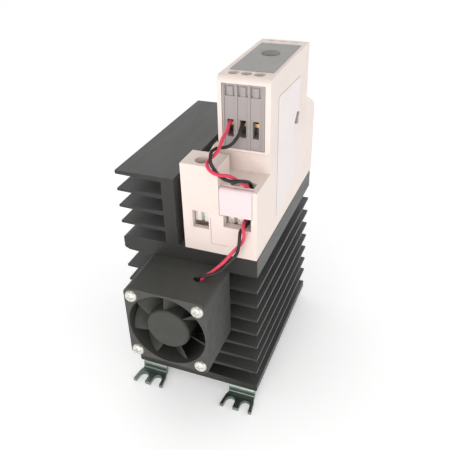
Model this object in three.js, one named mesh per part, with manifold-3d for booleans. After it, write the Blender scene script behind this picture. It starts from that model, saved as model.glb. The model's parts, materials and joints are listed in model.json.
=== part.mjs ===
// Solid state relay on a finned heat sink, with a 40 mm fan on its front end.
// Millimetres, +Z up. The heat sink lies on its back and the front (fan) end faces -Y.
// Every size below is in the heat sink's own frame: x = 0 on its centre line, y = 0 at its front
// face, z = 0 at its underside. The last section moves the whole part to its final frame.
import * as THREE from 'three';
import { mergeVertices } from 'three/addons/utils/BufferGeometryUtils.js';
import Module from 'manifold-3d';

const wasm = await Module();
wasm.setup();

// ---------------------------------------------------------------- driving dimensions

const sink = {
  halfWidth: 34, length: 94, floor: 5, webHalf: 4,
  baseBottom: 74, baseTop: 83.5, top: 118, topPlate: 2.4,
  wallLeft: -11.1, wallRight: -4.9,
  finPitch: 8.64, firstFin: 13.4, lowerFins: 7, upperFins: 3, firstUpperFin: 90.9,
  finRoot: 1.1, finTip: 0.6, tipBlock: 2.5,
};
const foot = {
  sheet: 2, drop: 7, reach: 10, width: 17.4, neck: 14.2, flange: 24,
  slotWidth: 5, slotPitch: 8.2, slotDepth: 6.3, flare: 0.3, bend: 0.8,
  frontCentre: sink.halfWidth - 8.4, rearCentre: 22.4,
};
const fan = {
  size: 40, depth: 20, bore: 19, holeSpacing: 32, centreX: 0.5, centreZ: 56, cornerRadius: 3,
  adapterDepth: 8, hubRadius: 10.6, bladeCount: 7, bladeTip: 18.3, shaftRadius: 1,
};
const body = {
  left: -1.1, right: 33.7, back: 97.2, bottom: sink.baseTop, top: 117.7, wall: 2.1,
  leftTop: 126.6, leftDepth: 13.9, divider: 16.3,
};
const tower = {
  left: 10, front: 17.4, back: 78.5, top: 160.1, wall: 2, frameBottom: 127.2, edgeRadius: 3,
  shoulder: 133.1,
};
const block = {
  left: 12.1, right: 31.1, bottom: 128.4, top: 157, front: 18, depth: 12,
  poles: 3, firstPole: 15.6, pitch: 5.7, entryWidth: 2.8, entryBottom: 133.5, entryTop: 141.4,
  screwY: 22.9,
};
const power = {
  poles: [
    { side: 'left', x: 7.3, y: 5.8, roof: body.leftTop },
    { side: 'right', x: 22.6, y: 7.2, roof: body.top },
  ],
  cageWidth: 7.4, cageDepth: 5.8, cageTop: 113.4, cageBar: 2, windowBottom: 104.2, cageBottom: 97.6,
  strip: 104.5, stripSheet: 1, headBottom: 113.7, headHeight: 2.3, travel: 5.6,
};
const entry = { left: 3.5, right: 11.3, bottom: 95.6, top: 104.2 };
const slot = { left: 18.3, right: 31, bottom: 98.4, top: 104.1 };
const cover = { thickness: 1.6, left: 16.6, right: 31.4, hingeY: 1.5, hingeZ: 116.1, barrel: 1.4 };
const lead = { radius: 0.75, offset: 0.95, turnSteps: 60, pathSteps: 110 };
const leadShaft = { left: 26.8, right: 31, front: 3.6, back: 8.6 };
const gap = 0.3;

const fanBack = -fan.adapterDepth;
const fanFront = fanBack - fan.depth;
const metalBase = { bottom: body.bottom + 0.5, top: body.bottom + 3.5 };

// ---------------------------------------------------------------- materials

const finish = (color, roughness, metalness) => (
  new THREE.MeshStandardMaterial({ color, roughness, metalness })
);
const anodised = finish(0x3d3c3a, 0.55, 0.6);
const creamPlastic = finish(0xf0e4dc, 0.5, 0);
const coverPlastic = finish(0xf4e2e2, 0.5, 0);
const greyPlastic = finish(0xaaa29f, 0.55, 0);
const blackPlastic = finish(0x2c2d2b, 0.5, 0);
const bladePlastic = finish(0x1e1f1e, 0.35, 0);
const darkSteel = finish(0x5f6560, 0.35, 0.85);
const brightSteel = finish(0xc9c0b2, 0.3, 0.9);
const tinnedCopper = finish(0xc7c2b4, 0.35, 0.9);
const brass = finish(0xb08a4a, 0.35, 0.9);
const copper = finish(0xb4673c, 0.4, 0.9);
const labelGrey = finish(0x9c9b96, 0.6, 0);
const discGrey = finish(0x6f6e6a, 0.5, 0);
const labelWhite = finish(0xebe2e2, 0.6, 0);
const boardGreen = finish(0x1f6b3a, 0.5, 0);
const ceramicWhite = finish(0xe8e8e2, 0.6, 0);
const redVinyl = finish(0xc01f34, 0.45, 0);
const blackVinyl = finish(0x1b1a1a, 0.45, 0);
const varistorBlue = finish(0x2a5a9a, 0.5, 0);
const ledGreen = finish(0x3fae4a, 0.3, 0);
const padWhite = finish(0xc9c9c9, 0.8, 0);

// ---------------------------------------------------------------- geometry helpers

function toSolid(piece) {
  if (piece instanceof wasm.Manifold) return piece;
  const bare = piece.clone();
  bare.deleteAttribute('normal');
  bare.deleteAttribute('uv');
  const merged = mergeVertices(bare, 1e-4);
  return new wasm.Manifold(new wasm.Mesh({
    numProp: 3,
    vertProperties: merged.attributes.position.array,
    triVerts: new Uint32Array(merged.index.array),
  }));
}

function toGeometry(solid) {
  const mesh = solid.getMesh();
  const geometry = new THREE.BufferGeometry();
  geometry.setAttribute('position', new THREE.BufferAttribute(mesh.vertProperties, 3));
  geometry.setIndex(new THREE.BufferAttribute(mesh.triVerts, 1));
  return geometry;
}

const join = (...pieces) => pieces.map(toSolid).reduce((sum, piece) => sum.add(piece));
const cut = (piece, ...tools) => toSolid(piece).subtract(join(...tools));

function box([x0, x1], [y0, y1], [z0, z1]) {
  const geometry = new THREE.BoxGeometry(x1 - x0, y1 - y0, z1 - z0);
  return geometry.translate((x0 + x1) / 2, (y0 + y1) / 2, (z0 + z1) / 2);
}

const around = (centre, width) => [centre - width / 2, centre + width / 2];

// A cylinder along one axis. centre holds the other two coordinates in x, y, z order.
function rod(axis, radius, centre, [from, to], sides = 24) {
  const geometry = new THREE.CylinderGeometry(radius, radius, to - from, sides);
  const middle = (from + to) / 2;
  if (axis === 'x') return geometry.rotateZ(Math.PI / 2).translate(middle, centre[0], centre[1]);
  if (axis === 'y') return geometry.translate(centre[0], middle, centre[1]);
  return geometry.rotateX(Math.PI / 2).translate(centre[0], centre[1], middle);
}

function outline(points) {
  return new THREE.Shape(points.map(([a, b]) => new THREE.Vector2(a, b)));
}

const extrude = (shape, depth) => (
  new THREE.ExtrudeGeometry(shape, { depth, bevelEnabled: false, curveSegments: 6 })
);

// Prisms from an outline drawn in the plane that the name gives, along the third axis.
const prismXY = (shape, [z0, z1]) => extrude(shape, z1 - z0).translate(0, 0, z0);
const prismXZ = (shape, [y0, y1]) => (
  extrude(shape, y1 - y0).rotateX(Math.PI / 2).translate(0, y1, 0)
);
function prismYZ(shape, [x0, x1]) {
  const turn = new THREE.Matrix4().makeBasis(
    new THREE.Vector3(0, 1, 0),
    new THREE.Vector3(0, 0, 1),
    new THREE.Vector3(1, 0, 0),
  );
  return extrude(shape, x1 - x0).applyMatrix4(turn).translate(x0, 0, 0);
}

function roundedRect(centreA, centreB, width, height, radius) {
  const [a0, a1] = around(centreA, width);
  const [b0, b1] = around(centreB, height);
  const shape = new THREE.Shape();
  shape.absarc(a1 - radius, b0 + radius, radius, -Math.PI / 2, 0);
  shape.absarc(a1 - radius, b1 - radius, radius, 0, Math.PI / 2);
  shape.absarc(a0 + radius, b1 - radius, radius, Math.PI / 2, Math.PI);
  shape.absarc(a0 + radius, b0 + radius, radius, Math.PI, Math.PI * 1.5);
  return shape;
}

// A pan head screw with a cross drive. seat is the point under the head, facing the way it points.
function screw(seat, facing, { head, headHeight, shank, length }) {
  const [bar, depth] = [head * 0.28, headHeight * 0.55];
  const solid = cut(
    join(
      new THREE.LatheGeometry([
        new THREE.Vector2(0, 0),
        new THREE.Vector2(head, 0),
        new THREE.Vector2(head, headHeight * 0.45),
        new THREE.Vector2(head * 0.72, headHeight),
        new THREE.Vector2(0, headHeight),
      ], 18),
      rod('y', shank, [0, 0], [-length, headHeight * 0.4], 14),
    ),
    box([-head * 0.62, head * 0.62], [headHeight - depth, headHeight + 1], [-bar / 2, bar / 2]),
    box([-bar / 2, bar / 2], [headHeight - depth, headHeight + 1], [-head * 0.62, head * 0.62]),
  );
  const turn = new THREE.Quaternion().setFromUnitVectors(
    new THREE.Vector3(0, 1, 0),
    new THREE.Vector3(...facing),
  );
  const geometry = toGeometry(solid).applyQuaternion(turn);
  return geometry.translate(...seat);
}

const parts = [];
function addPart(name, piece, material) {
  parts.push({ name, solid: toSolid(piece), material });
}

// ---------------------------------------------------------------- heat sink

// One tapered fin from its root to its tip, as three outline corners seen in the XZ plane.
function finCorners(rootX, tipX, z) {
  return [
    [rootX, z - sink.finRoot],
    [tipX, z - sink.finTip],
    [tipX, z + sink.finTip],
    [rootX, z + sink.finRoot],
  ];
}

const lowerFinHeights = Array.from({ length: sink.lowerFins }, (_, i) => (
  sink.firstFin + i * sink.finPitch
));
const upperFinHeights = Array.from({ length: sink.upperFins }, (_, i) => (
  sink.firstUpperFin + i * sink.finPitch
));

function sinkOutline() {
  const edge = sink.halfWidth;
  const web = sink.webHalf;
  const block = sink.tipBlock;
  return outline([
    [-edge, 0],
    [edge, 0],
    [edge, sink.floor - 1],
    [web, sink.floor],
    ...lowerFinHeights.flatMap((z) => finCorners(web, edge, z)),
    [web, sink.baseBottom],
    [edge, sink.baseBottom],
    [edge, sink.baseTop],
    [sink.wallRight, sink.baseTop],
    [sink.wallRight, sink.top],
    [-edge, sink.top],
    [-edge, sink.top - sink.topPlate + 0.6],
    [sink.wallLeft, sink.top - sink.topPlate],
    ...upperFinHeights.toReversed().flatMap((z) => (
      finCorners(sink.wallLeft, -edge, z).toReversed()
    )),
    [sink.wallLeft, sink.baseTop],
    [-edge + block, sink.baseTop],
    [-edge, sink.baseTop - block / 2],
    [-edge, sink.baseBottom + block],
    [-edge + block, sink.baseBottom + block / 2],
    [-web, sink.baseBottom],
    ...lowerFinHeights.toReversed().flatMap((z) => finCorners(-web, -edge, z).toReversed()),
    [-web, sink.floor],
    [-edge, sink.floor - 1],
  ]);
}

const footScrew = { head: 2.8, headHeight: 1.9, shank: 1.45, length: 6 };
const footScrewY = 12;
const footPlaces = [
  { name: 'front_left', x: -foot.frontCentre, end: 'front' },
  { name: 'front_right', x: foot.frontCentre, end: 'front' },
  { name: 'rear_left', x: -foot.rearCentre, end: 'rear' },
  { name: 'rear_right', x: foot.rearCentre, end: 'rear' },
];
const fromEnd = (end, y) => (end === 'front' ? y : sink.length - y);
const footScrewPoint = ({ x, end }) => [x, fromEnd(end, footScrewY)];

const adapterScrew = { head: 2.6, headHeight: 1.6, shank: 1.4, length: 9 };
const adapterBar = 2.5;
const adapterScrewZs = [fan.centreZ - 11, fan.centreZ + 11];
const baseScrew = { head: 3.6, headHeight: 2.4, shank: 1.9, length: 11 };
const baseScrewPoints = [[16.3, 24], [16.3, 74]];

addPart('heat_sink', cut(
  prismXZ(sinkOutline(), [0, sink.length]),
  ...footPlaces.map((place) => (
    rod('z', footScrew.shank + 0.1, footScrewPoint(place), [-1, sink.floor - 0.5], 14)
  )),
  ...adapterScrewZs.map((z) => rod('y', adapterScrew.shank + 0.1, [fan.centreX, z], [-1, 8], 14)),
  ...baseScrewPoints.map((point) => (
    rod('z', baseScrew.shank + 0.1, point, [sink.baseTop - 8.5, sink.baseTop + 1], 14)
  )),
), anodised);

// ---------------------------------------------------------------- feet

// Seen from above: a plate whose free edge has two open U slots with flared outer horns.
function footOutline() {
  const half = foot.width / 2;
  const slotHalf = foot.slotWidth / 2;
  const slotEnd = -foot.reach + foot.slotDepth - slotHalf;
  const shape = new THREE.Shape();
  shape.moveTo(-half, -foot.reach);
  for (const centre of [-foot.slotPitch / 2, foot.slotPitch / 2]) {
    const flareLeft = centre < 0 ? foot.flare : 0;
    const flareRight = centre > 0 ? foot.flare : 0;
    shape.lineTo(centre - slotHalf - flareLeft, -foot.reach);
    shape.lineTo(centre - slotHalf, slotEnd);
    shape.absarc(centre, slotEnd, slotHalf, Math.PI, 0, true);
    shape.lineTo(centre + slotHalf + flareRight, -foot.reach);
  }
  shape.lineTo(half, -foot.reach);
  shape.lineTo(half - 0.8, -3);
  shape.lineTo(foot.neck / 2, -foot.bend);
  shape.lineTo(-foot.neck / 2, -foot.bend);
  shape.lineTo(-half + 0.8, -3);
  return shape;
}

// Seen from the side: the sheet bends up from the slotted plate, then back under the heat sink.
function footBends() {
  const [inner, outer] = [foot.bend, foot.bend + foot.sheet];
  const quarter = Math.PI / 2;
  const shape = new THREE.Shape();
  shape.moveTo(foot.flange, 0);
  shape.lineTo(outer, 0);
  shape.absarc(outer, -outer, outer, quarter, 2 * quarter);
  shape.lineTo(0, -foot.drop + outer);
  shape.absarc(-inner, -foot.drop + outer, inner, 0, -quarter, true);
  shape.lineTo(-inner, -foot.drop);
  shape.absarc(-inner, -foot.drop + outer, outer, -quarter, 0);
  shape.lineTo(foot.sheet, -outer);
  shape.absarc(outer, -outer, inner, 2 * quarter, quarter, true);
  shape.lineTo(foot.flange, -foot.sheet);
  return shape;
}

function footSolid({ x, end }) {
  const bracket = cut(
    join(
      prismXY(footOutline(), [-foot.drop, -foot.drop + foot.sheet]),
      prismYZ(footBends(), [-foot.neck / 2, foot.neck / 2]),
    ),
    rod('z', footScrew.shank + 0.15, [0, footScrewY], [-foot.sheet - 1, 1], 14),
  );
  const geometry = toGeometry(bracket);
  if (end === 'rear') geometry.rotateZ(Math.PI).translate(0, sink.length, 0);
  return geometry.translate(x, 0, 0);
}

for (const place of footPlaces) {
  const seat = [...footScrewPoint(place), -foot.sheet];
  addPart(`${place.name}_foot`, footSolid(place), darkSteel);
  addPart(`${place.name}_foot_screw`, screw(seat, [0, 0, -1], footScrew), brightSteel);
}

// ---------------------------------------------------------------- fan

const fanScrew = { head: 3, headHeight: 2, shank: 1.45, length: 24.5 };
const fanCorners = [-1, 1].flatMap((side) => [-1, 1].map((level) => [
  fan.centreX + side * fan.holeSpacing / 2,
  fan.centreZ + level * fan.holeSpacing / 2,
]));
const fanCentre = [fan.centreX, fan.centreZ];
const fanSquare = roundedRect(...fanCentre, fan.size, fan.size, fan.cornerRadius);
const fanRod = (radius, span, sides) => rod('y', radius, fanCentre, span, sides);

const leadHole = { x: 10, y: fanBack - 3.4, radius: 2.2 };
const adapterBarHalf = 3;

addPart('fan_adapter', cut(
  join(
    cut(prismXZ(fanSquare, [fanBack, 0]), fanRod(fan.bore - 0.5, [fanBack - 1, 1], 32)),
    box(around(fan.centreX, 2 * adapterBarHalf), [-adapterBar, 0], around(fan.centreZ, fan.size - 2)),
  ),
  ...fanCorners.map((corner) => rod('y', fanScrew.shank + 0.1, corner, [fanBack - 1, -3], 14)),
  ...adapterScrewZs.map((z) => (
    rod('y', adapterScrew.shank + 0.15, [fan.centreX, z], [-adapterBar - 1, 1], 14)
  )),
), blackPlastic);

adapterScrewZs.forEach((z, i) => addPart(
  `adapter_screw_${['lower', 'upper'][i]}`,
  screw([fan.centreX, -adapterBar, z], [0, -1, 0], adapterScrew),
  brightSteel,
));

const motorMount = { radius: 11, sheet: 1.6, tubeOuter: 3, tubeInner: 2.1, tubeEnd: fanFront + 7 };

function fanSpokes() {
  const reach = fan.bore + 0.6;
  return [45, 135, 225, 315].map((angle) => {
    const spoke = box([0, reach], [fanBack - motorMount.sheet, fanBack], [-1.1, 1.1]);
    spoke.rotateY(THREE.MathUtils.degToRad(angle));
    return spoke.translate(fan.centreX, 0, fan.centreZ);
  });
}

addPart('fan_frame', cut(
  join(
    cut(prismXZ(fanSquare, [fanFront, fanBack]), fanRod(fan.bore, [fanFront - 1, fanBack + 1], 40)),
    ...fanSpokes(),
    fanRod(motorMount.radius, [fanBack - motorMount.sheet, fanBack], 32),
    fanRod(motorMount.tubeOuter, [motorMount.tubeEnd, fanBack], 20),
  ),
  fanRod(motorMount.tubeInner, [motorMount.tubeEnd - 1, fanBack - 0.6], 16),
  ...fanCorners.map((corner) => rod('y', 1.7, corner, [fanFront - 1, fanBack + 1], 14)),
  rod('z', leadHole.radius, [leadHole.x, leadHole.y], [fan.centreZ + 15, fan.centreZ + 21], 14),
), blackPlastic);

addPart('fan_bearing', cut(
  fanRod(motorMount.tubeInner - 0.05, [motorMount.tubeEnd + 0.4, fanBack - 1.2], 16),
  fanRod(fan.shaftRadius + 0.1, [motorMount.tubeEnd - 1, fanBack], 14),
), brass);

// One blade: a thin skin wound round the hub from its front edge to its back edge.
function bladeSolid(turn) {
  const [rootRadius, tipRadius, thickness] = [fan.hubRadius - 0.6, fan.bladeTip, 0.9];
  const [frontY, backY, sweep, lean] = [fanFront + 1.8, fanFront + 12.5, 0.62, 0.16];
  const [radialSteps, chordSteps] = [3, 6];
  const positions = [];
  for (const side of [-1, 1]) {
    for (let i = 0; i <= radialSteps; i += 1) {
      for (let j = 0; j <= chordSteps; j += 1) {
        const along = j / chordSteps;
        const out = i / radialSteps;
        const radius = rootRadius + (tipRadius - rootRadius) * out;
        const angle = turn + sweep * along ** 0.85 + lean * out;
        const y = frontY + (backY - frontY) * along + side * thickness / 2;
        positions.push(
          fan.centreX + radius * Math.cos(angle),
          y,
          fan.centreZ + radius * Math.sin(angle),
        );
      }
    }
  }
  const row = chordSteps + 1;
  const skin = row * (radialSteps + 1);
  const index = [];
  const quad = (a, b, c, d) => index.push(a, b, c, a, c, d);
  for (let i = 0; i < radialSteps; i += 1) {
    for (let j = 0; j < chordSteps; j += 1) {
      const corner = i * row + j;
      quad(corner, corner + row, corner + row + 1, corner + 1);
      quad(skin + corner, skin + corner + 1, skin + corner + row + 1, skin + corner + row);
    }
    const [first, last] = [i * row, i * row + chordSteps];
    quad(first, skin + first, skin + first + row, first + row);
    quad(last, last + row, skin + last + row, skin + last);
  }
  for (let j = 0; j < chordSteps; j += 1) {
    const far = radialSteps * row + j;
    quad(j, j + 1, skin + j + 1, skin + j);
    quad(far, skin + far, skin + far + 1, far + 1);
  }
  const geometry = new THREE.BufferGeometry();
  geometry.setAttribute('position', new THREE.Float32BufferAttribute(positions, 3));
  geometry.setIndex(index);
  return geometry;
}

const hub = { front: fanFront + 0.8, back: fanBack - 3.6, wall: 1, boss: 2.6 };
const magnet = { outer: fan.hubRadius - hub.wall - 0.05, inner: fan.hubRadius - hub.wall - 1.3 };
const shaftSpan = [hub.front + 1.3, fanBack - 1.6];

addPart('fan_impeller', cut(
  join(
    fanRod(fan.hubRadius, [hub.front, hub.back], 32),
    ...Array.from({ length: fan.bladeCount }, (_, i) => (
      bladeSolid(0.35 + i * 2 * Math.PI / fan.bladeCount)
    )),
  ),
  cut(
    fanRod(fan.hubRadius - hub.wall, [hub.front + 1.4, hub.back + 1], 32),
    fanRod(hub.boss, [hub.front, motorMount.tubeEnd - 0.6], 18),
  ),
  fanRod(fan.shaftRadius + 0.02, [hub.front + 1.2, hub.back + 1], 14),
), bladePlastic);

addPart('fan_shaft', fanRod(fan.shaftRadius, shaftSpan, 14), brightSteel);

addPart('fan_magnet_ring', cut(
  fanRod(magnet.outer, [hub.front + 3, hub.back - 0.4], 32),
  fanRod(magnet.inner, [hub.front, hub.back + 1], 32),
), darkSteel);

const stator = { front: motorMount.tubeEnd + 1.5, back: fanBack - 5.6, shoe: magnet.inner - 0.6 };

function statorArms(halfWidth, reach, span) {
  return [0, 90, 180, 270].map((angle) => {
    const arm = box([0, reach], span, [-halfWidth, halfWidth]);
    arm.rotateY(THREE.MathUtils.degToRad(angle));
    return arm.translate(fan.centreX, 0, fan.centreZ);
  });
}

const boreForTube = fanRod(motorMount.tubeOuter + 0.05, [fanFront, fanBack + 1], 20);
const statorRing = cut(
  fanRod(stator.shoe, [stator.front, stator.back], 32),
  fanRod(stator.shoe - 1, [stator.front - 1, stator.back + 1], 32),
  ...statorArms(0.7, stator.shoe + 1, [stator.front - 1, stator.back + 1]).map((arm) => (
    arm.translate(-fan.centreX, 0, -fan.centreZ)
      .rotateY(Math.PI / 4)
      .translate(fan.centreX, 0, fan.centreZ)
  )),
);
const statorCore = cut(
  join(statorRing, fanRod(4.2, [stator.front, stator.back], 20),
    ...statorArms(1, stator.shoe - 0.4, [stator.front, stator.back])),
  boreForTube,
);
addPart('fan_stator_core', statorCore, darkSteel);

// Four coils round the core's arms, held together by a ring across their front ends.
const coilOuter = statorArms(2, stator.shoe - 1.7, [stator.front - 0.9, stator.back + 0.9]);
const coilBore = statorArms(1.05, stator.shoe, [stator.front - 0.05, stator.back + 0.05]);
addPart('fan_coils', cut(
  join(...coilOuter, fanRod(5.4, [stator.front - 0.9, stator.front - 0.3], 24)),
  ...coilBore,
  fanRod(4.5, [stator.front - 0.05, fanBack], 20),
  boreForTube,
), copper);

addPart('fan_circuit_board', cut(
  fanRod(stator.shoe, [stator.back + 1.6, stator.back + 2.6], 28),
  boreForTube,
), boardGreen);

fanCorners.forEach(([x, z], i) => addPart(
  `fan_screw_${['lower_left', 'upper_left', 'lower_right', 'upper_right'][i]}`,
  screw([x, fanFront, z], [0, -1, 0], fanScrew),
  brightSteel,
));

// ---------------------------------------------------------------- power element

const middleX = (body.left + body.right) / 2;
const baseSpanX = around(middleX, 30);
const baseSpanY = [17.5, 90];

addPart('thermal_pad', cut(
  box(baseSpanX, baseSpanY, [body.bottom, metalBase.bottom]),
  ...baseScrewPoints.map((point) => rod('z', 2.4, point, [body.bottom - 1, metalBase.top], 16)),
), padWhite);

addPart('metal_base', cut(
  box(baseSpanX, baseSpanY, [metalBase.bottom, metalBase.top]),
  ...baseScrewPoints.map((point) => rod('z', 2.1, point, [body.bottom, metalBase.top + 1], 16)),
), copper);

baseScrewPoints.forEach(([x, y], i) => addPart(
  `base_screw_${['front', 'rear'][i]}`,
  screw([x, y, metalBase.top], [0, 0, 1], baseScrew),
  brightSteel,
));

const substrate = { x: [4.5, 28], y: [34, 64], top: metalBase.top + 1 };
addPart('ceramic_substrate', box(substrate.x, substrate.y, [metalBase.top, substrate.top]), ceramicWhite);

// Two chips on the metal pattern that joins them.
const pattern = { top: substrate.top + 0.3, chipTop: substrate.top + 0.9, chipYs: [43, 57] };
addPart('thyristor_pair', join(
  box(around(middleX, 8), [38, 62], [substrate.top, pattern.top]),
  ...pattern.chipYs.map((y) => (
    box(around(middleX, 8), around(y, 8), [substrate.top, pattern.chipTop])
  )),
), greyPlastic);

// A strip from inside a cage clamp back to the ceramic plate, seen from the side.
function busbar({ x }, frontY) {
  const [high, sheet] = [power.strip, power.stripSheet];
  const [bendY, landY] = [28, 36];
  const low = substrate.top;
  return prismYZ(outline([
    [frontY, high],
    [bendY, high],
    [landY - 3, low],
    [landY + 2, low],
    [landY + 2, low + sheet],
    [landY - 2.4, low + sheet],
    [bendY + 0.6, high + sheet],
    [frontY, high + sheet],
  ]), around(x, 4.6));
}

for (const pole of power.poles) {
  const frontY = pole.y - power.cageDepth / 2 - 0.2;
  addPart(`power_busbar_${pole.side}`, busbar(pole, frontY), tinnedCopper);
}

// ---------------------------------------------------------------- power clamps

const powerScrew = { head: 3.2, headHeight: power.headHeight, shank: 2, length: 8.1 };

for (const pole of power.poles) {
  const centre = [pole.x, pole.y];
  addPart(`power_clamp_${pole.side}`, cut(
    box(
      around(pole.x, power.cageWidth),
      around(pole.y, power.cageDepth),
      [power.cageBottom, power.cageTop],
    ),
    box(
      around(pole.x, power.cageWidth - 2),
      around(pole.y, power.cageDepth + 2),
      [power.windowBottom, power.cageTop - power.cageBar],
    ),
    rod('z', powerScrew.shank + 0.1, centre, [power.windowBottom + 1, power.cageTop + 1], 16),
    // the V groove along the top of the saddle, and the seam down the middle of its face
    prismXZ(outline([
      [pole.x - 1.8, power.windowBottom + 0.1],
      [pole.x, power.windowBottom - 1.4],
      [pole.x + 1.8, power.windowBottom + 0.1],
    ]), around(pole.y, power.cageDepth + 2)),
    prismXY(outline([
      [pole.x - 0.9, pole.y - power.cageDepth / 2 - 0.1],
      [pole.x + 0.9, pole.y - power.cageDepth / 2 - 0.1],
      [pole.x, pole.y - power.cageDepth / 2 + 0.8],
    ]), [power.cageBottom - 1, power.windowBottom + 1]),
  ), brightSteel);
  addPart(
    `power_screw_${pole.side}`,
    screw([pole.x, pole.y, power.headBottom], [0, 0, 1], powerScrew),
    brightSteel,
  );
}

// ---------------------------------------------------------------- lower housing

function clampChamber({ x, y, roof }) {
  return join(
    box(
      around(x, power.cageWidth + 2 * gap),
      around(y, power.cageDepth + 2 * gap),
      [power.cageBottom - power.travel - gap, power.headBottom + power.headHeight + 0.4],
    ),
    rod('z', powerScrew.head + 0.3, [x, y], [power.headBottom, roof + 1], 24),
    // the strip leaves the chamber through this slot
    box(around(x, 5.2), [y, tower.front + 4], [power.strip - gap, power.strip + power.stripSheet + gap]),
  );
}

// The recess that the hinged cover lies in, with room behind its hinge barrel.
function coverRecess() {
  const span = [cover.left - 0.2, cover.right + 0.2];
  return join(
    box(span, [-1, cover.thickness + 0.2], [slot.top, cover.hingeZ]),
    box(span, [-1, cover.hingeY + cover.barrel + 0.2], [cover.hingeZ - 2, body.top + 1]),
    rod('x', 0.85, [cover.hingeY, cover.hingeZ], [span[0] - 1.2, span[1] + 1.2], 14),
  );
}

// The tall step at the tower's back that falls to the rear end in a rounded slope.
function rearShoulder() {
  const shape = new THREE.Shape();
  shape.moveTo(tower.back, body.top - 1);
  shape.lineTo(body.back, body.top - 1);
  shape.lineTo(body.back, 120);
  shape.quadraticCurveTo(96, 124.6, 91.8, 126.3);
  shape.lineTo(tower.back, tower.shoulder);
  return prismYZ(shape, [tower.left, body.right]);
}

const hollow = {
  x: [body.left + body.wall, body.right - body.wall],
  y: [tower.front - 0.2, body.back - body.wall],
};
const towerInside = {
  x: [tower.left + tower.wall, body.right - tower.wall],
  y: [tower.front + tower.wall + 0.6, tower.back - tower.wall],
};
const gusset = { foot: 7, back: 17 };

addPart('lower_housing', cut(
  join(
    box([body.left, body.right], [0, body.back], [body.bottom, body.top]),
    box([body.left, body.divider], [0, body.leftDepth], [body.top - 1, body.leftTop]),
    // the sloping web from the left compartment up to the tower's corner
    prismXZ(outline([
      [gusset.foot, body.top - 1],
      [tower.left - gap, body.top - 1],
      [tower.left - gap, body.leftTop + 4.6],
      [gusset.foot, body.leftTop],
    ]), [body.leftDepth - 1, gusset.back]),
    rearShoulder(),
  ),
  box(hollow.x, hollow.y, [body.bottom - 1, body.top - body.wall]),
  box(towerInside.x, towerInside.y, [body.top - body.wall - 1, body.top + 1]),
  box(towerInside.x, [tower.back + tower.wall, body.back - 8], [body.top - body.wall - 1, 124]),
  box([entry.left, entry.right], [-1, power.poles[0].y], [entry.bottom, entry.top]),
  box([slot.left, slot.right], [-1, leadShaft.back], [slot.bottom, slot.top]),
  box(
    [leadShaft.left, leadShaft.right],
    [leadShaft.front, leadShaft.back],
    [slot.bottom, body.top + 1],
  ),
  ...power.poles.map(clampChamber),
  coverRecess(),
  // the moulded line beside the left compartment and below the slot
  box([12, 12.5], [-1, 0.4], [88.2, 102]),
  box([12, 20.2], [-1, 0.4], [88.2, 88.7]),
), creamPlastic);

// ---------------------------------------------------------------- hinged terminal cover

addPart('terminal_cover', join(
  box([cover.left, cover.right], [0, cover.thickness], [slot.top + 0.3, cover.hingeZ]),
  rod('x', cover.barrel, [cover.hingeY, cover.hingeZ], [cover.left, cover.right], 24),
  rod('x', 0.7, [cover.hingeY, cover.hingeZ], [cover.left - 1, cover.right + 1], 14),
), coverPlastic);

// ---------------------------------------------------------------- tower

const poleXs = Array.from({ length: block.poles }, (_, i) => block.firstPole + i * block.pitch);
const rearHoleY = tower.back - 3.2;
const driverHole = 2.4;

function towerProfile(inset) {
  const [front, back, top] = [tower.front + inset, tower.back - inset, tower.top - inset];
  const radius = tower.edgeRadius - inset;
  const shape = new THREE.Shape();
  shape.moveTo(back, body.top - (inset > 0 ? 1 : 0));
  shape.lineTo(back, top - 1);
  shape.absarc(back - 1, top - 1, 1, 0, Math.PI / 2);
  shape.absarc(front + radius, top - radius, radius, Math.PI / 2, Math.PI);
  shape.lineTo(front, tower.frameBottom);
  shape.lineTo(front + 0.6, tower.frameBottom - 0.6);
  shape.lineTo(front + 0.6, body.top - (inset > 0 ? 1 : 0));
  return shape;
}

// A slanted slot through the side label and the wall behind it.
const sideSlot = prismYZ(outline([
  [54.9, 127.3],
  [61.2, 124.9],
  [65.1, 129.7],
  [59.3, 131.9],
]), [body.right - tower.wall - 0.5, body.right + 1]);

addPart('upper_housing', cut(
  join(
    cut(
      prismYZ(towerProfile(0), [tower.left, body.right]),
      prismYZ(towerProfile(tower.wall), towerInside.x),
    ),
    // collars that guide a driver down to each screw
    ...poleXs.map((x) => rod('z', driverHole + 0.4, [x, block.screwY], [
      block.top + 0.2,
      tower.top - tower.wall + 0.2,
    ])),
  ),
  sideSlot,
  box(
    [block.left - 0.15, block.right + 0.15],
    [tower.front - 1, tower.front + tower.wall + 1],
    [block.bottom - 0.15, block.top + 0.15],
  ),
  ...poleXs.map((x) => rod('z', driverHole, [x, block.screwY], [tower.top - 4, tower.top + 1])),
  ...poleXs.map((x) => box(around(x, 3.6), around(rearHoleY, 1.4), [tower.top - 0.8, tower.top + 1])),
), creamPlastic);

// ---------------------------------------------------------------- control terminals

const controlScrew = { head: 2.1, headHeight: 2, shank: 1.2, length: 9.3 };
const control = {
  headBottom: 152.3, cageTop: 151.9, cageBar: 1.6, cageWidth: 4.2, cageDepth: 3.4,
  windowBottom: 139.2, cageBottom: 137.6, strip: 141.9, stripSheet: 0.7, travel: 3.6,
};

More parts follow.
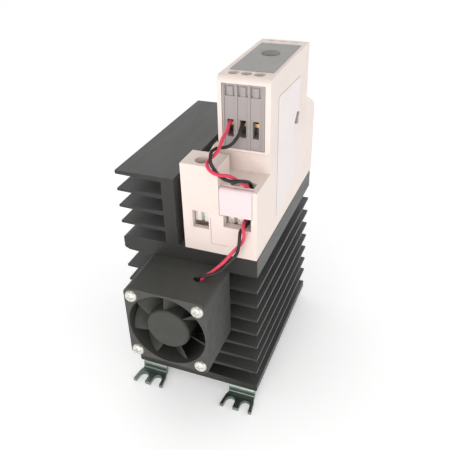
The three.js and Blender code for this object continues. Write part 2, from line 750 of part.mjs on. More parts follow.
function poleChamber(x) {
  const chamberDepth = control.cageDepth + 2 * gap;
  return join(
    box(
      around(x, control.cageWidth + 2 * gap),
      around(block.screwY, chamberDepth),
      [control.cageBottom - control.travel - gap, control.headBottom],
    ),
    rod('z', controlScrew.head + 0.25, [x, block.screwY], [control.cageTop, block.top + 1], 20),
    box(
      around(x, block.entryWidth),
      [block.front - 1, block.screwY],
      [block.entryBottom, block.entryTop],
    ),
    // the marker pocket above each pole, with a raised pad in its middle
    cut(
      box(around(x, 4.4), [block.front - 1, block.front + 0.8], [151.7, 156.3]),
      box(around(x, 2.4), [block.front + 0.35, block.front + 1], [151.7, 155.7]),
    ),
    box(
      around(x, 3),
      [block.screwY, block.front + block.depth + 1],
      [control.strip - 0.15, control.strip + control.stripSheet + 0.15],
    ),
  );
}

// Raised ribs between the poles and along the block's edges.
const ribXs = [block.left + 0.5, ...poleXs.slice(1).map((x) => x - block.pitch / 2), block.right - 0.5];

addPart('control_terminal_block', cut(
  join(
    box(
      [block.left, block.right],
      [block.front, block.front + block.depth],
      [block.bottom, block.top],
    ),
    ...ribXs.map((x) => box(
      around(x, 0.9),
      [block.front - 0.5, block.front + 1],
      [block.bottom, block.top],
    )),
  ),
  ...poleXs.map(poleChamber),
), greyPlastic);

const poleNames = ['left', 'middle', 'right'];
poleXs.forEach((x, i) => {
  addPart(`control_clamp_${poleNames[i]}`, cut(
    box(
      around(x, control.cageWidth),
      around(block.screwY, control.cageDepth),
      [control.cageBottom, control.cageTop],
    ),
    box(
      around(x, control.cageWidth - 1),
      around(block.screwY, control.cageDepth + 2),
      [control.windowBottom, control.cageTop - control.cageBar],
    ),
    rod('z', controlScrew.shank + 0.1, [x, block.screwY], [control.strip + 2, control.cageTop + 1], 14),
  ), brass);
  addPart(
    `control_screw_${poleNames[i]}`,
    screw([x, block.screwY, control.headBottom], [0, 0, 1], controlScrew),
    brightSteel,
  );
});

const contactBack = block.front + block.depth + 2.4;
poleXs.forEach((x, i) => addPart(`control_contact_${poleNames[i]}`, box(
  around(x, 2.6),
  [block.screwY - 1.4, contactBack],
  [control.strip, control.strip + control.stripSheet],
), tinnedCopper));

// ---------------------------------------------------------------- control electronics

const board = { x: 21.3, sheet: 1.6, y: [33, 75], z: [119, 156.5] };
addPart('control_board', box(
  [board.x, board.x + board.sheet],
  board.y,
  board.z,
), boardGreen);
addPart('optocoupler', box([board.x - 3.6, board.x], around(42, 9), around(130, 6.6)), blackPlastic);
addPart('varistor', rod('x', 5.2, [56, 132], [board.x - 4.2, board.x], 24), varistorBlue);
addPart('snubber_capacitor', box([board.x - 7, board.x], around(48, 15), around(147, 9)), varistorBlue);
addPart('snubber_resistor', rod('y', 1.8, [board.x - 1.9, 124.5], [46, 57], 16), ceramicWhite);
addPart('status_led', join(
  rod('z', 1.45, [board.x + 3.4, 66], [151, 155.5], 16),
  box([board.x + board.sheet, board.x + 3.4], around(66, 1.2), [151.4, 152.4]),
), ledGreen);

// ---------------------------------------------------------------- labels

const labelSheet = 0.3;
const topLabel = { x: [12.4, 32], y: [26.2, 69.4] };
const disc = { x: 22.2, y: 53, radius: 4.3 };

addPart('top_label', box(topLabel.x, topLabel.y, [tower.top, tower.top + labelSheet]), labelGrey);
addPart(
  'status_disc',
  rod('z', disc.radius, [disc.x, disc.y], [tower.top + labelSheet, tower.top + 2 * labelSheet], 32),
  discGrey,
);
addPart('side_label', cut(
  prismYZ(outline([
    [28.6, 91],
    [63, 97],
    [63, 148],
    [28.6, 149.4],
  ]), [body.right, body.right + labelSheet]),
  sideSlot,
), labelWhite);

// ---------------------------------------------------------------- fan leads

// Where the pair's centre line runs: over the left compartment's edge, down through the right
// compartment, out of its slot and down to the fan.
const pairRoute = [
  [14.4, 6.0, 132.9], [13.2, 1.6, 131.3], [13.3, -1.7, 129.1], [15.4, -2.6, 126.8],
  [18.4, -1.5, 124.3], [22.0, 0.4, 122.5], [25.8, 2.9, 120.6], [28.2, 5.2, 118.4],
  [28.9, 6.1, 115.2], [28.9, 6.1, 110.5], [28.9, 5.9, 106.6], [28.6, 4.2, 102.6],
  [28.0, 1.2, 101.2], [27.7, -1.9, 100.2], [28.1, -3.6, 97.2], [27.4, -4.2, 93.6],
  [25.4, -5.2, 89.6], [22.8, -6.8, 86.0], [19.8, -8.6, 82.6], [16.4, -10.2, 79.9],
  [13.2, -11.2, 78.3], [11.0, -11.5, 76.9], [10.1, leadHole.y, 74.2], [10.0, leadHole.y, 72.5],
];
const leadEnd = [block.screwY - 2.1, 140.4];
const leadStarts = {
  red: [[poleXs[0], ...leadEnd], [15.7, 16.2, 140.0], [15.9, 13, 138.0], [15.2, 9.6, 136.0]],
  black: [[poleXs[1], ...leadEnd], [21.3, 16.4, 139.6], [20.9, 13, 136.4], [18.0, 9.8, 132.8]],
};
// How far the two leads have turned round each other, in degrees, by each share of that route.
const pairTurns = [
  [0, -153], [0.07, -299], [0.17, -461], [0.27, -645], [0.32, -707], [0.58, -1132],
  [0.62, -1220], [0.68, -1298], [0.73, -1385], [0.8, -1400], [0.89, -1315], [0.96, -1235], [1, -1225],
];

const toVectors = (points) => points.map((point) => new THREE.Vector3(...point));

function turnAt(share) {
  const next = Math.max(1, pairTurns.findIndex(([place]) => place >= share));
  const [[from, turn], [to, nextTurn]] = [pairTurns[next - 1], pairTurns[next]];
  return THREE.MathUtils.degToRad(THREE.MathUtils.mapLinear(share, from, to, turn, nextTurn));
}

// One lead's centre line, wound round the route. phase is 0 for one lead and half a turn for the other.
function woundPoints(phase) {
  const route = new THREE.CatmullRomCurve3(toVectors(pairRoute), false, 'centripetal');
  const { normals, binormals } = route.computeFrenetFrames(lead.turnSteps, false);
  return normals.map((normal, i) => {
    const share = i / lead.turnSteps;
    const angle = phase + turnAt(share);
    return route.getPointAt(share)
      .addScaledVector(normal, lead.offset * Math.cos(angle))
      .addScaledVector(binormals[i], lead.offset * Math.sin(angle));
  });
}

function leadSolid(starts, phase) {
  const points = [...toVectors(starts), ...woundPoints(phase)];
  const path = new THREE.CatmullRomCurve3(points, false, 'centripetal');
  const circle = new THREE.Shape();
  circle.absarc(0, 0, lead.radius, 0, 2 * Math.PI);
  return new THREE.ExtrudeGeometry(circle, {
    steps: lead.pathSteps, curveSegments: 4, bevelEnabled: false, extrudePath: path,
  });
}

addPart('red_fan_lead', leadSolid(leadStarts.red, 0), redVinyl);
addPart('black_fan_lead', leadSolid(leadStarts.black, Math.PI), blackVinyl);

// ---------------------------------------------------------------- final frame

// z = 0 is the feet's underside, x = 0 and y = 0 are the middle of the whole part's box.
const frontmost = fanFront - fanScrew.headHeight;
const rearmost = sink.length + foot.reach;
const shift = [0, -(frontmost + rearmost) / 2, foot.drop];

const relay = new THREE.Group();
relay.name = 'solid_state_relay';
for (const { name, solid, material } of parts) {
  const mesh = new THREE.Mesh(toGeometry(solid).translate(...shift), material);
  mesh.name = name;
  relay.add(mesh);
}

export default relay;
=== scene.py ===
"""The looks of the solid state relay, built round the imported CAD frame. Metres, Z up."""
import json
from math import cos, pi, radians, sin, sqrt

import bpy
from mathutils import Matrix, Vector


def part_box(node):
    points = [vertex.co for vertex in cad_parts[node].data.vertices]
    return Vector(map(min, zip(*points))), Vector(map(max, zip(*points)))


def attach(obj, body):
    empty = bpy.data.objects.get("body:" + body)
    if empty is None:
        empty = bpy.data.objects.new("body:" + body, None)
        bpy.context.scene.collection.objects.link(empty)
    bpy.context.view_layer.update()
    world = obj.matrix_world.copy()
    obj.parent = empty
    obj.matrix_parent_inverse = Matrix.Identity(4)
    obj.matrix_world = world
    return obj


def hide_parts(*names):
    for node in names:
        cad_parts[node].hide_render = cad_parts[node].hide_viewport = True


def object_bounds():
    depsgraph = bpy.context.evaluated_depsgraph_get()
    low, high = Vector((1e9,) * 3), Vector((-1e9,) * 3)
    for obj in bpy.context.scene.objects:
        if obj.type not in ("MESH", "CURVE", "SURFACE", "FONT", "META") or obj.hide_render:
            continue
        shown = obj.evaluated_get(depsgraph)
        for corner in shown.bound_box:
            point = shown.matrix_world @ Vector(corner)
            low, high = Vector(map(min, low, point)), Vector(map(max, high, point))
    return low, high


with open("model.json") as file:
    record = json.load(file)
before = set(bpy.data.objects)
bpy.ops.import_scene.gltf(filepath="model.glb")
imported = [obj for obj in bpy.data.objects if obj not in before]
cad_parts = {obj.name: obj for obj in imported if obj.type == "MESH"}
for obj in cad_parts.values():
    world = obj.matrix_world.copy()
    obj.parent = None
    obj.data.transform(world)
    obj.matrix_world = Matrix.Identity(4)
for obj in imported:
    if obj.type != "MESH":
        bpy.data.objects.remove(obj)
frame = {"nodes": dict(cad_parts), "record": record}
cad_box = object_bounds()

MM = 0.001
nodes = frame["nodes"]
record = frame["record"]
collection = bpy.context.scene.collection

# ------------------------------------------------------------------ places taken from the frame

sink_low, sink_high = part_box("heat_sink")
SINK_ORIGIN = Vector(((sink_low.x + sink_high.x) / 2, sink_low.y, sink_low.z))


def at(x, y, z):
    """A point given in mm from the middle of the heat sink's lower front edge."""
    return SINK_ORIGIN + Vector((x, y, z)) * MM


def middle(node):
    low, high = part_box(node)
    return (low + high) / 2


def half_width(node):
    low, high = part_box(node)
    return (high.x - low.x) / 2


def body_of(node):
    members = record["behaviour"]["bodies"]
    return next(body for body in members if node in members[body])


# ------------------------------------------------------------------ camera

AZIMUTH, ELEVATION, ROLL = radians(22.31), radians(32.21), radians(-1.75)
DISTANCE = 0.29713
AIM_RIGHT, AIM_UP = 0.00363, -0.00274
LENS, SENSOR = 45.7, 36.0


def make_camera():
    back = Vector((
        sin(AZIMUTH) * cos(ELEVATION),
        -cos(AZIMUTH) * cos(ELEVATION),
        sin(ELEVATION),
    ))
    level_right = Vector((cos(AZIMUTH), sin(AZIMUTH), 0))
    level_up = back.cross(level_right)
    right = level_right * cos(ROLL) + level_up * sin(ROLL)
    up = level_up * cos(ROLL) - level_right * sin(ROLL)
    low, high = cad_box
    aim = (Vector(low) + Vector(high)) / 2 + right * AIM_RIGHT + up * AIM_UP
    data = bpy.data.cameras.new("camera")
    data.lens = LENS
    data.sensor_width = SENSOR
    data.clip_start = 0.01
    camera = bpy.data.objects.new("camera", data)
    turn = Matrix((right, up, back)).transposed()
    camera.matrix_world = Matrix.Translation(aim + back * DISTANCE) @ turn.to_4x4()
    collection.objects.link(camera)
    bpy.context.scene.camera = camera


make_camera()

# ------------------------------------------------------------------ materials


class Shader:
    """A Principled material with small helpers for its procedural detail."""

    def __init__(self, name, colour, roughness, metallic=0.0):
        self.material = bpy.data.materials.new(name)
        self.material.use_nodes = True
        self.tree = self.material.node_tree
        self.surface = self.tree.nodes["Principled BSDF"]
        self.surface.inputs["Base Color"].default_value = (*colour, 1)
        self.surface.inputs["Roughness"].default_value = roughness
        self.surface.inputs["Metallic"].default_value = metallic
        self.colour = colour
        self.place = self.tree.nodes.new("ShaderNodeTexCoord").outputs["Object"]

    def set(self, socket, value):
        self.surface.inputs[socket].default_value = value

    def link(self, a, b):
        self.tree.links.new(a, b)

    def node(self, kind, **values):
        made = self.tree.nodes.new(kind)
        for key, value in values.items():
            if key in made.inputs:
                made.inputs[key].default_value = value
            else:
                setattr(made, key, value)
        return made

    def noise(self, size, detail=3.0, stretch=(1, 1, 1)):
        """Noise whose features are about size metres across."""
        mapping = self.node("ShaderNodeMapping", Scale=stretch)
        self.link(self.place, mapping.inputs["Vector"])
        made = self.node("ShaderNodeTexNoise", Scale=1.0 / size, Detail=detail)
        self.link(mapping.outputs["Vector"], made.inputs["Vector"])
        return made.outputs["Fac"]

    def spread(self, value, low, high, start=0.3, end=0.7):
        made = self.node("ShaderNodeMapRange")
        made.inputs["From Min"].default_value = start
        made.inputs["From Max"].default_value = end
        made.inputs["To Min"].default_value = low
        made.inputs["To Max"].default_value = high
        self.link(value, made.inputs["Value"])
        return made.outputs["Result"]

    def facing(self, axis):
        """1 on the faces that point along the axis, such as the end faces of a bar, else 0."""
        geometry = self.node("ShaderNodeNewGeometry")
        parts = self.node("ShaderNodeSeparateXYZ")
        self.link(geometry.outputs["Normal"], parts.inputs["Vector"])
        size = self.node("ShaderNodeMath", operation="ABSOLUTE")
        self.link(parts.outputs[axis], size.inputs[0])
        return self.spread(size.outputs["Value"], 0, 1, 0.6, 0.95)

    def tint(self, factor, other):
        """Mixes the base colour with another one by factor, on top of what is there."""
        mix = self.node("ShaderNodeMix", data_type="RGBA")
        socket = self.surface.inputs["Base Color"]
        if socket.links:
            self.link(socket.links[0].from_socket, mix.inputs["A"])
        else:
            mix.inputs["A"].default_value = (*self.colour, 1)
        mix.inputs["B"].default_value = (*other, 1)
        self.link(factor, mix.inputs["Factor"])
        self.link(mix.outputs["Result"], socket)

    def vary_roughness(self, factor, low, high):
        self.link(self.spread(factor, low, high), self.surface.inputs["Roughness"])

    def bump(self, height, distance, strength=0.5):
        made = self.node("ShaderNodeBump", Strength=strength, Distance=distance)
        self.link(height, made.inputs["Height"])
        self.link(made.outputs["Normal"], self.surface.inputs["Normal"])

    def edge_wear_and_highlight(self, other, amount, start=0.515, end=0.56):
        """Lightens convex edges: partly wear, where handling polishes them, and partly a
        painted highlight.
        """
        geometry = self.node("ShaderNodeNewGeometry")
        self.tint(self.spread(geometry.outputs["Pointiness"], 0, amount, start, end), other)


def scaled(colour, factor):
    return tuple(min(1.0, c * factor) for c in colour)


def moulded_plastic(name, colour, roughness, gloss=0.5):
    """Spark-eroded mould grain, faint flow marks and a few handling smudges."""
    shader = Shader(name, colour, roughness)
    shader.set("Specular IOR Level", gloss)
    shader.tint(shader.spread(shader.noise(0.02, 4), 0, 0.5), scaled(colour, 0.93))
    smudges = shader.noise(0.0015, 5)
    shader.tint(shader.spread(smudges, 0, 0.22, 0.55, 0.8), scaled(colour, 0.84))
    shader.vary_roughness(shader.noise(0.004, 5), roughness - 0.07, roughness + 0.1)
    shader.bump(shader.noise(0.00035, 2), 0.00004, 0.35)
    # Edges lightened a little: partly handling wear, partly a painted highlight.
    shader.edge_wear_and_highlight(scaled(colour, 1.08), 0.5)
    return shader.material


# The second tone lightens the anodised edges: partly rubbed metal, partly a painted highlight.
DUST, EDGE_RUB_AND_HIGHLIGHT = (0.13, 0.127, 0.12), (0.14, 0.14, 0.138)


def anodised_metal(name, colour):
    """Black anodising over an extrusion: fine die lines run along Y, with dust on them, edges
    lightened by wear and a painted highlight, and painted shade on the end faces.
    """
    shader = Shader(name, colour, 0.5)
    shader.set("Specular IOR Level", 0.36)
    lines = shader.noise(0.0006, 4, (1, 0.012, 1))
    dust = shader.noise(0.0012, 6)
    shader.tint(shader.spread(lines, 0, 0.35), scaled(colour, 1.35))
    shader.tint(shader.spread(shader.noise(0.018, 4), 0, 0.4), scaled(colour, 0.8))
    shader.tint(shader.spread(dust, 0, 0.22, 0.58, 0.8), DUST)
    shader.vary_roughness(shader.noise(0.005, 5, (1, 0.15, 1)), 0.42, 0.52)
    shader.bump(lines, 0.00005, 0.35)
    # Edges lightened: partly rubbed bare metal, partly a painted highlight.
    shader.edge_wear_and_highlight(EDGE_RUB_AND_HIGHLIGHT, 0.5)
    # Painted shade: the faces that point along Y, the extrusion's front and back ends, are
    # toned down to one flat dark colour.
    shader.tint(shader.facing("Y"), scaled(colour, 1.25))
    return shader.material


def plated_metal(name, colour, roughness, tarnish=0.72):
    shader = Shader(name, colour, roughness, 1.0)
    shader.tint(shader.spread(shader.noise(0.003, 5), 0, 0.5), scaled(colour, tarnish))
    shader.vary_roughness(shader.noise(0.0012, 5), roughness - 0.08, roughness + 0.14)
    shader.bump(shader.noise(0.0005, 4), 0.00004, 0.35)
    # Edges and bends lightened strongly: partly wear, partly a painted highlight.
    shader.edge_wear_and_highlight(scaled(colour, 1.5), 0.6)
    return shader.material


def insulation(name, colour):
    """Extruded vinyl round a wire."""
    shader = Shader(name, colour, 0.38)
    shader.tint(shader.spread(shader.noise(0.002, 4), 0, 0.4), scaled(colour, 0.75))
    shader.vary_roughness(shader.noise(0.001, 4), 0.34, 0.5)
    shader.bump(shader.noise(0.0004, 3), 0.00003, 0.4)
    return shader.material


finishes = {
    "black_anodised": anodised_metal("black_anodised", (0.024, 0.024, 0.0225)),
    "cream_plastic": moulded_plastic("cream_plastic", (0.81, 0.705, 0.65), 0.42),
    "cover_plastic": moulded_plastic("cover_plastic", (0.82, 0.665, 0.68), 0.42),
    "grey_plastic": moulded_plastic("grey_plastic", (0.36, 0.33, 0.32), 0.5),
    "fan_plastic": moulded_plastic("fan_plastic", (0.060, 0.061, 0.055), 0.54, 0.36),
    "impeller_plastic": moulded_plastic("impeller_plastic", (0.048, 0.050, 0.044), 0.6, 0.35),
    "plated_steel": plated_metal("plated_steel", (0.20, 0.24, 0.215), 0.36),
    "bright_steel": plated_metal("bright_steel", (0.74, 0.73, 0.67), 0.3, 0.78),
    "tinned_copper": plated_metal("tinned_copper", (0.66, 0.62, 0.55), 0.35),
    "brass": plated_metal("brass", (0.62, 0.40, 0.16), 0.32),
    "copper": plated_metal("copper", (0.68, 0.30, 0.16), 0.36),
    "label_grey": moulded_plastic("label_grey", (0.33, 0.325, 0.31), 0.5),
    "disc_grey": moulded_plastic("disc_grey", (0.14, 0.137, 0.13), 0.4),
    "label_white": moulded_plastic("label_white", (0.80, 0.735, 0.73), 0.45),
    "board_green": moulded_plastic("board_green", (0.02, 0.14, 0.05), 0.35),
    "ceramic": moulded_plastic("ceramic", (0.78, 0.77, 0.72), 0.6),
    "red_vinyl": insulation("red_vinyl", (0.76, 0.045, 0.10)),
    "black_vinyl": insulation("black_vinyl", (0.013, 0.0125, 0.012)),
    "blue_epoxy": moulded_plastic("blue_epoxy", (0.03, 0.10, 0.33), 0.3),
    "led_green": moulded_plastic("led_green", (0.06, 0.42, 0.08), 0.25),
    "thermal_pad": moulded_plastic("thermal_pad", (0.5, 0.5, 0.5), 0.8),
}
slot_of = {part["node"]: part["material_slot"] for part in record["subparts"]}

for node, slot in slot_of.items():
    nodes[node].data.materials.clear()
    nodes[node].data.materials.append(finishes[slot])


def stand_in(piece, node):
    """Finishes a new piece as the CAD node it replaces, and lets it ride on the same body."""
    piece.data.materials.append(finishes[slot_of[node]])
    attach(piece, body_of(node))
    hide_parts(node)


# ------------------------------------------------------------------ fan leads

LEAD_DIAMETER, LEAD_OFFSET = 1.5, 0.95
TURN_STEPS, LEAD_POINTS, SPAN_STEPS = 60, 320, 24
PAIR_ROUTE = [
    (14.4, 6.0, 132.9), (13.2, 1.6, 131.3), (13.3, -1.7, 129.1), (15.4, -2.6, 126.8),
    (18.4, -1.5, 124.3), (22.0, 0.4, 122.5), (25.8, 2.9, 120.6), (28.2, 5.2, 118.4),
    (28.9, 6.1, 115.2), (28.9, 6.1, 110.5), (28.9, 5.9, 106.6), (28.6, 4.2, 102.6),
    (28.0, 1.2, 101.2), (27.7, -1.9, 100.2), (28.1, -3.6, 97.2), (27.4, -4.2, 93.6),
    (25.4, -5.2, 89.6), (22.8, -6.8, 86.0), (19.8, -8.6, 82.6), (16.4, -10.2, 79.9),
    (13.2, -11.2, 78.3), (11.0, -11.5, 76.9), (10.1, -11.4, 74.2), (10.0, -11.4, 72.5),
]
LEAD_STARTS = {
    "red": [(15.6, 20.8, 140.4), (15.7, 16.2, 140.0), (15.9, 13, 138.0), (15.2, 9.6, 136.0)],
    "black": [(21.3, 20.8, 140.4), (21.3, 16.4, 139.6), (20.9, 13, 136.4), (18.0, 9.8, 132.8)],
}
# How far the pair has turned, in degrees, at each share of its route.
PAIR_TURNS = [
    (0, -153), (0.07, -299), (0.17, -461), (0.27, -645), (0.32, -707), (0.58, -1132),
    (0.62, -1220), (0.68, -1298), (0.73, -1385), (0.8, -1400), (0.89, -1315),
    (0.96, -1235), (1, -1225),
]


def smooth_route(points, count):
    """count + 1 points, evenly spaced along a centripetal Catmull-Rom curve."""
    points = [Vector(p) for p in points]
    ends = [2 * points[0] - points[1], *points, 2 * points[-1] - points[-2]]
    dense = []
    for p0, p1, p2, p3 in zip(ends, ends[1:], ends[2:], ends[3:]):
        t1 = sqrt((p1 - p0).length)
        t2 = t1 + sqrt((p2 - p1).length)
        t3 = t2 + sqrt((p3 - p2).length)
        for step in range(SPAN_STEPS):
            t = t1 + (t2 - t1) * step / SPAN_STEPS
            a1 = p0 * (t1 - t) / t1 + p1 * t / t1
            a2 = p1 * (t2 - t) / (t2 - t1) + p2 * (t - t1) / (t2 - t1)
            a3 = p2 * (t3 - t) / (t3 - t2) + p3 * (t - t2) / (t3 - t2)
            b1 = a1 * (t2 - t) / t2 + a2 * t / t2
            b2 = a2 * (t3 - t) / (t3 - t1) + a3 * (t - t1) / (t3 - t1)
            dense.append(b1 * (t2 - t) / (t2 - t1) + b2 * (t - t1) / (t2 - t1))
    dense.append(points[-1])
    travelled = [0.0]
    for a, b in zip(dense, dense[1:]):
        travelled.append(travelled[-1] + (b - a).length)
    even, place = [], 0
    for i in range(count + 1):
        goal = travelled[-1] * i / count
        while place < len(dense) - 2 and travelled[place + 1] < goal:
            place += 1
        span = travelled[place + 1] - travelled[place]
        even.append(dense[place].lerp(dense[place + 1], (goal - travelled[place]) / span))
    return even


def tangents_of(points):
    ends = [points[0], *points, points[-1]]
    return [(after - before).normalized() for before, after in zip(ends, ends[2:])]


def carried_normals(tangents):
    """A normal at every point that turns as little as it can along the route."""
    smallest = min(range(3), key=lambda axis: abs(tangents[0][axis]))
    axis = Vector([1.0 if i == smallest else 0.0 for i in range(3)])
    normals = [tangents[0].cross(tangents[0].cross(axis).normalized())]
    for before, after in zip(tangents, tangents[1:]):
        normals.append(before.rotation_difference(after) @ normals[-1])
    return normals


def turn_at(share):
    """The pair's turn in radians at a share of its route."""
    for (start, turn), (end, next_turn) in zip(PAIR_TURNS, PAIR_TURNS[1:]):
        if share <= end:
            break
    return radians(turn + (next_turn - turn) * (share - start) / (end - start))


def twisted(phase):
    """One lead's centre line, wound round the pair's route."""
    route = smooth_route(PAIR_ROUTE, TURN_STEPS)
    tangents = tangents_of(route)
    normals = carried_normals(tangents)
    points = []
    for i in range(TURN_STEPS + 1):
        angle = phase + turn_at(i / TURN_STEPS)
        side = tangents[i].cross(normals[i])
        points.append(route[i] + LEAD_OFFSET * (normals[i] * cos(angle) + side * sin(angle)))
    return points


def make_lead(colour, phase):
    points = [*LEAD_STARTS[colour], *twisted(phase)]
    line = [at(*p) for p in smooth_route(points, LEAD_POINTS)]
    curve = bpy.data.curves.new(f"{colour}_lead", "CURVE")
    curve.dimensions = "3D"
    curve.bevel_depth = LEAD_DIAMETER / 2 * MM
    curve.bevel_resolution = 6
    curve.use_fill_caps = True
    spline = curve.splines.new("POLY")
    spline.points.add(len(line) - 1)
    for place, point in zip(spline.points, line):
        place.co = (*point, 1)
    spline.use_smooth = True
    lead = bpy.data.objects.new(f"{colour}_lead", curve)
    collection.objects.link(lead)
    stand_in(lead, f"{colour}_fan_lead")


make_lead("red", 0)
make_lead("black", pi)

# ------------------------------------------------------------------ new meshes


class Solid:
    """Collects the vertices and faces of one piece."""

    def __init__(self):
        self.vertices = []
        self.faces = []

    def ring(self, points):
        """Adds a ring of points and gives their indices."""
        first = len(self.vertices)
        self.vertices.extend(points)
        return list(range(first, len(self.vertices)))

    def bridge(self, ring, following):
        """Joins two rings; a ring of one point is an apex."""
        count = max(len(ring), len(following))
        for i in range(count):
            a, b = ring[i % len(ring)], ring[(i + 1) % len(ring)]
            c = following[(i + 1) % len(following)]
            d = following[i % len(following)]
            corners = [a, b, c, d]
            self.faces.append([v for k, v in enumerate(corners) if v not in corners[:k]])

    def piece(self, name, place, sharp=35):
        """Makes the object. place is the matrix from the piece's own frame to the row frame."""
        mesh = bpy.data.meshes.new(name)
        mesh.from_pydata([place @ Vector(v) for v in self.vertices], [], self.faces)
        mesh.shade_smooth()
        mesh.set_sharp_from_angle(angle=radians(sharp))
        made = bpy.data.objects.new(name, mesh)
        collection.objects.link(made)
        return made


def circle(radius, height, steps):
    """Points of a circle round Z, or the one point on the axis."""
    if radius == 0:
        return [Vector((0, 0, height))]
    angles = [2 * pi * i / steps for i in range(steps)]
    return [Vector((radius * cos(a), radius * sin(a), height)) for a in angles]


def turned(solid, profile, steps):
    """Adds a solid of revolution round Z from its (radius, height) profile, top to bottom."""
    rings = [solid.ring(circle(radius, height, steps)) for radius, height in profile]
    for ring, following in zip(rings, rings[1:]):
        solid.bridge(following, ring)


def fillet(radius, corner_radius, corner_height, steps=6):
    """The rounded top corner of a turned profile, from its flat top down to its side."""
    angles = [pi / 2 * i / steps for i in range(steps + 1)]
    return [
        (corner_radius - radius + radius * sin(a), corner_height - radius + radius * cos(a))
        for a in angles
    ]


# ------------------------------------------------------------------ fan impeller

HUB_WALL, HUB_EDGE, HUB_FACE = 1.05 * MM, 1.4 * MM, 1.4 * MM
BLADES, BLADE_PHASE = 7, radians(-5)
BLADE_SWEEP, BLADE_LEAN = radians(-42), radians(-6)
BLADE_FRONT, BLADE_DEPTH, BLADE_THICKNESS = 1.0 * MM, 10.6 * MM, 1.1 * MM
BLADE_RADIAL_STEPS, BLADE_CHORD_STEPS = 8, 14
EDGE_SHARE, BELLY_SHARE = 0.12, 0.38
SWEEP_POWER = 0.85
ROUND_STEPS = 96


def add_blade(solid, phase, root, tip):
    """One twisted blade, a thin aerofoil from inside the hub's wall out to its tip."""
    rings = []
    for i in range(BLADE_RADIAL_STEPS + 1):
        out = i / BLADE_RADIAL_STEPS
        radius = root + (tip - root) * out
        front_skin, back_skin = [], []
        for j in range(BLADE_CHORD_STEPS + 1):
            along = j / BLADE_CHORD_STEPS
            angle = phase + BLADE_LEAN * out + BLADE_SWEEP * along ** SWEEP_POWER
            depth = BLADE_FRONT + BLADE_DEPTH * along
            half = BLADE_THICKNESS * (EDGE_SHARE + BELLY_SHARE * sqrt(sin(pi * along)))
            spot = (radius * cos(angle), radius * sin(angle))
            front_skin.append(Vector((*spot, -depth + half)))
            back_skin.append(Vector((*spot, -depth - half)))
        rings.append(solid.ring(front_skin + back_skin[::-1]))
    for ring, following in zip(rings, rings[1:]):
        solid.bridge(following, ring)
    solid.faces.append(rings[0])
    solid.faces.append(rings[-1][::-1])


def make_impeller():
    """A cup-shaped hub over the magnet ring, with its blades. Its own Z points to the front."""
    low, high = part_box("fan_impeller")
    hub = half_width("fan_magnet_ring") + HUB_WALL
    inside = hub - 0.9 * HUB_WALL
    back = low.y - high.y
    solid = Solid()
    turned(solid, [
        (0, 0),
        *fillet(HUB_EDGE, hub, 0),
        (hub, back),
        (inside, back),
        (inside, -HUB_FACE),
        (0, -HUB_FACE),
    ], ROUND_STEPS)
    for i in range(BLADES):
        phase = BLADE_PHASE + 2 * pi * i / BLADES
        add_blade(solid, phase, hub - 0.5 * HUB_WALL, half_width("fan_impeller"))
    centre = middle("fan_magnet_ring")
    front = Matrix.Translation((centre.x, low.y, centre.z)) @ Matrix.Rotation(pi / 2, 4, "X")
    stand_in(solid.piece("impeller", front), "fan_impeller")


make_impeller()

# ------------------------------------------------------------------ screws

FRONT, UP, DOWN = (0, -1, 0), (0, 0, 1), (0, 0, -1)
# Each kind of screw: the way its head faces, the head's height and the shank's radius.
SCREWS = {
    "fan": (FRONT, 2 * MM, 1.45 * MM),
    "foot": (DOWN, 1.9 * MM, 1.45 * MM),
    "power": (UP, 2.3 * MM, 2 * MM),
    "control": (UP, 2 * MM, 1.2 * MM),
}
HEAD_STEPS, HEAD_RINGS, HEAD_CROWN = 72, 24, 2.4
# The cross drive, as shares of the head's radius, and of the head's height for its depth.
ARM_REACH, BAR_HALF_WIDTH, SLOPE_WIDTH = 0.58, 0.13, 0.09
RECESS_DEPTH, FLOOR_RISE = 0.6, 0.35


def cross_recess(x, y, head):
    """How deep a cross drive is at a point of the head, as a share of its full depth."""
    arm, bar, slope = ARM_REACH * head, BAR_HALF_WIDTH * head, SLOPE_WIDTH * head

    def ramp(distance):
        return max(0.0, min(1.0, distance / slope))

    def groove(across, along):
        floor = 1 - FLOOR_RISE * abs(along) / arm
        return ramp(bar + slope / 2 - abs(across)) * ramp(arm - abs(along)) * floor

    return max(groove(x, y), groove(y, x))


def make_screw(node, kind):
    """A pan head screw with a cross drive, in the space of its CAD node."""
    facing, head_height, shank = SCREWS[kind]
    low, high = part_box(node)
    sizes = list(high - low)
    along = max(range(3), key=lambda axis: abs(facing[axis]))
    length = sizes[along]
    head = max(size for axis, size in enumerate(sizes) if axis != along) / 2
    solid = Solid()
    top = []
    for i in range(HEAD_RINGS + 1):
        share = i / HEAD_RINGS
        height = -head_height * (1 - (1 - share ** HEAD_CROWN) ** (1 / HEAD_CROWN))
        ring = circle(head * share, height, HEAD_STEPS)
        for point in ring:
            point.z -= RECESS_DEPTH * head_height * cross_recess(point.x, point.y, head)
        top.append(solid.ring(ring))
    under = [
        (shank, -head_height), (shank, shank / 2 - length), (shank / 2, -length), (0, -length),
    ]
    rings = top + [solid.ring(circle(radius, height, HEAD_STEPS)) for radius, height in under]
    for ring, following in zip(rings, rings[1:]):
        solid.bridge(following, ring)
    tip = (low + high) / 2 + Vector(facing) * length / 2
    turn = Vector((0, 0, 1)).rotation_difference(Vector(facing)).to_matrix().to_4x4()
    piece = solid.piece(f"{node}_shown", Matrix.Translation(tip) @ turn, sharp=50)
    stand_in(piece, node)


for side in ("left", "right"):
    for level in ("lower", "upper"):
        make_screw(f"fan_screw_{level}_{side}", "fan")
    for end in ("front", "rear"):
        make_screw(f"{end}_{side}_foot_screw", "foot")
    make_screw(f"power_screw_{side}", "power")
for side in ("left", "middle", "right"):
    make_screw(f"control_screw_{side}", "control")

# ------------------------------------------------------------------ CAD pieces that stay


BEVEL_WIDTH, BEVEL_SEGMENTS, BEVEL_ANGLE = 0.25 * MM, 3, radians(35)
FLAT_ANGLE = radians(0.8)


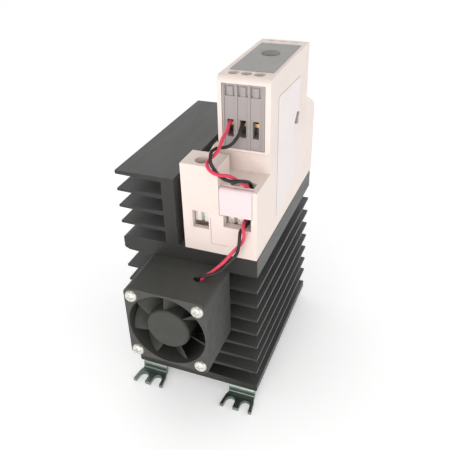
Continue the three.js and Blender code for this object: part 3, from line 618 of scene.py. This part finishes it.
def refine(piece):
    """Rounds a CAD node's edges with modifiers: its own mesh stays as packed."""
    piece.data.shade_smooth()
    weld = piece.modifiers.new("weld", "WELD")
    weld.merge_threshold = 1e-6
    flat = piece.modifiers.new("flat", "DECIMATE")
    flat.decimate_type = "DISSOLVE"
    flat.angle_limit = FLAT_ANGLE
    bevel = piece.modifiers.new("bevel", "BEVEL")
    bevel.width = BEVEL_WIDTH
    bevel.segments = BEVEL_SEGMENTS
    bevel.limit_method = "ANGLE"
    bevel.angle_limit = BEVEL_ANGLE
    bevel.use_clamp_overlap = True
    normals = piece.modifiers.new("normals", "WEIGHTED_NORMAL")
    normals.mode = "FACE_AREA"
    normals.weight = 50


for node, piece in nodes.items():
    if not piece.hide_render:
        refine(piece)

# ------------------------------------------------------------------ floor and light

FLOOR_RADIUS, COVE_RADIUS, WALL_HEIGHT = 2.0, 1.2, 2.6
COVE_STEPS = 24
FLOOR_GLOW, WORLD_STRENGTH = 0.28, 0.54
WARM, WHITE = (1, 0.93, 0.91), (1, 1, 1)
# Each light: its place and diameter in metres, its power in watts and its colour.
LIGHTS = {
    "key": ((-0.05, -0.6, 0.2), 0.3, 1.04, WARM),
    "fill": ((1.0, -0.35, 0.3), 0.6, 0.9, WHITE),
    "top": ((-0.1, 0.1, 1.1), 0.7, 0.9, WHITE),
}


def make_stage():
    """A plain pale floor that curves up into a plain wall all round."""
    rim = FLOOR_RADIUS + COVE_RADIUS
    cove = [
        (FLOOR_RADIUS + COVE_RADIUS * sin(a), COVE_RADIUS * (1 - cos(a)))
        for a in (pi / 2 * i / COVE_STEPS for i in range(COVE_STEPS + 1))
    ]
    solid = Solid()
    turned(solid, [(rim, WALL_HEIGHT), *cove[::-1], (0, 0)], ROUND_STEPS)
    floor = solid.piece("floor", Matrix())
    shader = Shader("floor", (0.93, 0.93, 0.93), 0.9)
    shader.set("Specular IOR Level", 0.0)
    shader.set("Emission Color", (1, 1, 1, 1))
    shader.set("Emission Strength", FLOOR_GLOW)
    floor.data.materials.append(shader.material)


def area_light(name, location, size, power, colour):
    data = bpy.data.lights.new(name, "AREA")
    data.shape = "DISK"
    data.size = size
    data.energy = power
    data.color = colour
    light = bpy.data.objects.new(name, data)
    light.location = location
    direction = middle("lower_housing") - light.location
    light.rotation_euler = direction.to_track_quat("-Z", "Y").to_euler()
    collection.objects.link(light)


def make_light():
    world = bpy.data.worlds.new("studio")
    world.use_nodes = True
    background = world.node_tree.nodes["Background"]
    background.inputs["Color"].default_value = (1, 1, 1, 1)
    background.inputs["Strength"].default_value = WORLD_STRENGTH
    bpy.context.scene.world = world
    for name, values in LIGHTS.items():
        area_light(name, *values)


make_stage()
make_light()
bpy.context.scene.view_settings.view_transform = "Standard"
